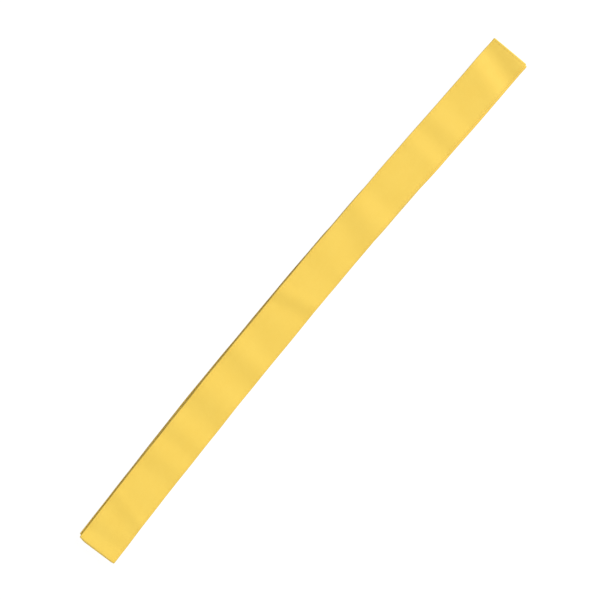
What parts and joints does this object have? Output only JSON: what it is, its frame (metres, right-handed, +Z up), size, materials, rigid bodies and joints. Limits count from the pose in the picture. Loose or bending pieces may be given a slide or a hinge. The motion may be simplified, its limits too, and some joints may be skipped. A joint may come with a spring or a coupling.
{
  "type": "martial arts belt",
  "caption": "Flat cotton martial arts belt, edge-stitched and folded like an accordion into a long narrow stack of layers that open at hinged folds.",
  "frame": {"origin": "on the ground, under the middle of the folded belt's box", "axes": "+X along the belt towards its two sewn ends, +Y across its width, +Z up out of the stack"},
  "size_m": [0.6274, 0.049, 0.0097],
  "materials": {
    "cover_cloth": "smooth yellow cotton with a soft sheen",
    "interlining": "matt off-white cotton wadding",
    "sewing_thread": "yellow spun polyester thread"
  },
  "bodies": {
    "layer_1": {"layer_1_back_ply": "interlining", "layer_1_cover": "cover_cloth", "layer_1_front_ply": "interlining", "layer_1_left_seam": "sewing_thread", "layer_1_right_seam": "sewing_thread", "layer_1_tip_seam": "sewing_thread"},
    "layer_2": {"layer_2_back_ply": "interlining", "layer_2_cover": "cover_cloth", "layer_2_front_ply": "interlining", "layer_2_left_seam": "sewing_thread", "layer_2_right_seam": "sewing_thread", "fold_1_back_ply": "interlining", "fold_1_cover": "cover_cloth", "fold_1_front_ply": "interlining", "fold_1_seams": "sewing_thread", "fold_2_back_ply": "interlining", "fold_2_cover": "cover_cloth", "fold_2_front_ply": "interlining", "fold_2_seams": "sewing_thread"},
    "layer_3": {"layer_3_back_ply": "interlining", "layer_3_cover": "cover_cloth", "layer_3_front_ply": "interlining", "layer_3_left_seam": "sewing_thread", "layer_3_right_seam": "sewing_thread", "fold_3_back_ply": "interlining", "fold_3_cover": "cover_cloth", "fold_3_front_ply": "interlining", "fold_3_seams": "sewing_thread"},
    "layer_4": {"layer_4_back_ply": "interlining", "layer_4_cover": "cover_cloth", "layer_4_front_ply": "interlining", "layer_4_left_seam": "sewing_thread", "layer_4_right_seam": "sewing_thread", "layer_4_tip_seam": "sewing_thread"}
  },
  "joints": [
    {"name": "open_fold_1", "type": "hinge", "parent": "layer_2", "child": "layer_1", "pos_m": [-0.30823, 0.00015, 0.00235], "axis": [-0.0293, 0.9996, 0], "range_deg": [0, 179.9], "deforming": ["fold_1_back_ply", "fold_1_cover", "fold_1_front_ply", "fold_1_seams"]},
    {"name": "open_fold_2", "type": "hinge", "parent": "layer_2", "child": "layer_3", "pos_m": [0.31052, -0.00394, 0.00485], "axis": [0.0403, 0.9992, 0], "range_deg": [0, 179.9], "deforming": ["fold_2_back_ply", "fold_2_cover", "fold_2_front_ply", "fold_2_seams"]},
    {"name": "open_fold_3", "type": "hinge", "parent": "layer_3", "child": "layer_4", "pos_m": [-0.31064, -0.00224, 0.00735], "axis": [0.0343, -0.9994, 0], "range_deg": [0, 179.9], "deforming": ["fold_3_back_ply", "fold_3_cover", "fold_3_front_ply", "fold_3_seams"]}
  ]
}
